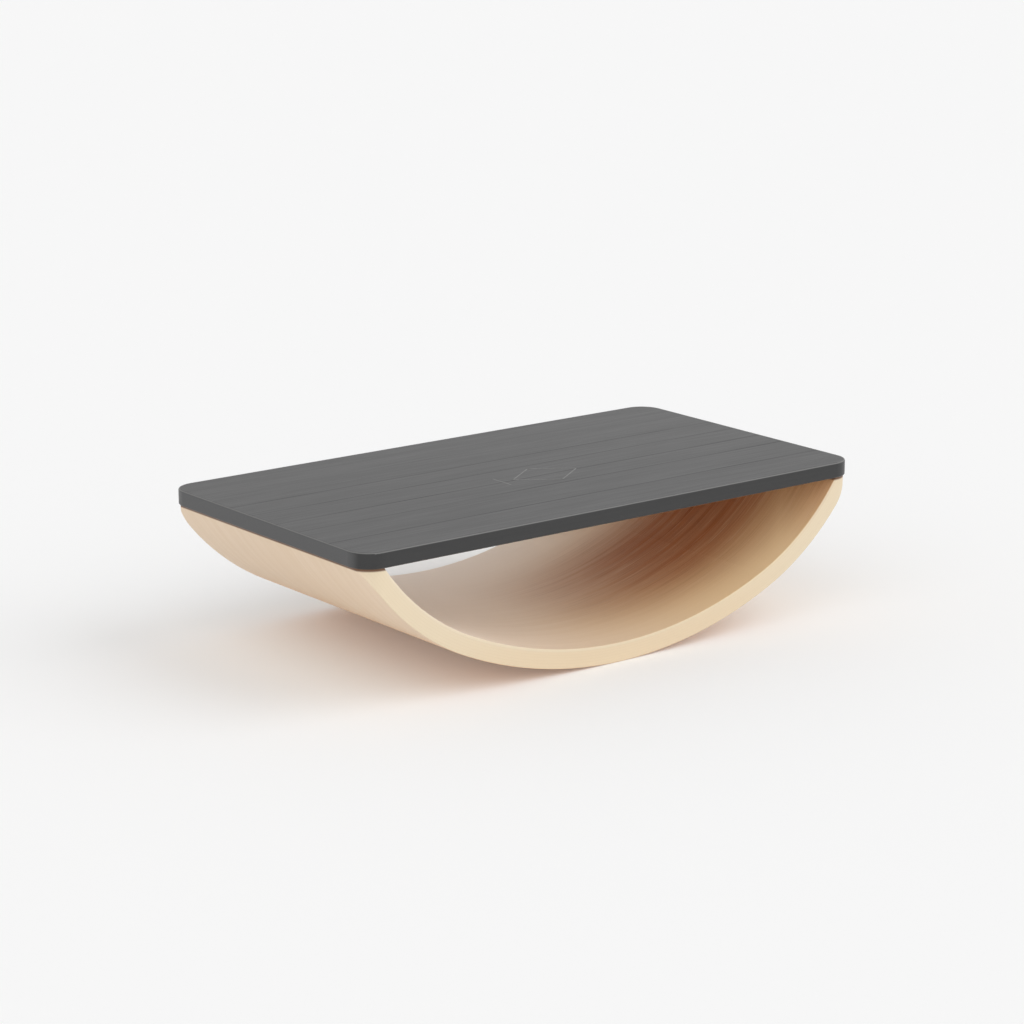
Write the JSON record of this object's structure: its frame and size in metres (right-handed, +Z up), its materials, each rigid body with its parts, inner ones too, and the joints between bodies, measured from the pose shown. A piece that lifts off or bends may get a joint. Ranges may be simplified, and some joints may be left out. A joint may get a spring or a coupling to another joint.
{
  "type": "rocker board",
  "caption": "Low rocking balance board: a flat dark-stained wooden deck on a curved pale bentwood rocker, open through the middle.",
  "frame": {"origin": "on the floor under the middle of the board, where the rocker touches at rest", "axes": "+X along the deck's length and the rocker's curve, +Y across the width, +Z up"},
  "size_m": [0.7, 0.378, 0.18],
  "materials": {
    "deck_stained_wood": "charcoal stain under a satin clear coat, straight grain along the length",
    "rocker_face_wood": "pale bentwood face with fine grain along the curve, matt clear oil",
    "rocker_core_wood": "pale bentwood lamination, seen only as a sanded edge",
    "dowel_wood": "plain hardwood dowel, hidden"
  },
  "bodies": {
    "root": {"deck_stave_1": "deck_stained_wood", "deck_stave_2": "deck_stained_wood", "deck_stave_3": "deck_stained_wood", "deck_stave_4": "deck_stained_wood", "deck_stave_5": "deck_stained_wood", "deck_stave_6": "deck_stained_wood", "rocker_lamination_1": "rocker_face_wood", "rocker_lamination_2": "rocker_core_wood", "rocker_lamination_3": "rocker_core_wood", "rocker_lamination_4": "rocker_core_wood", "rocker_lamination_5": "rocker_core_wood", "rocker_lamination_6": "rocker_core_wood", "rocker_lamination_7": "rocker_face_wood", "dowels_left": "dowel_wood", "dowels_right": "dowel_wood"}
  },
  "joints": []
}
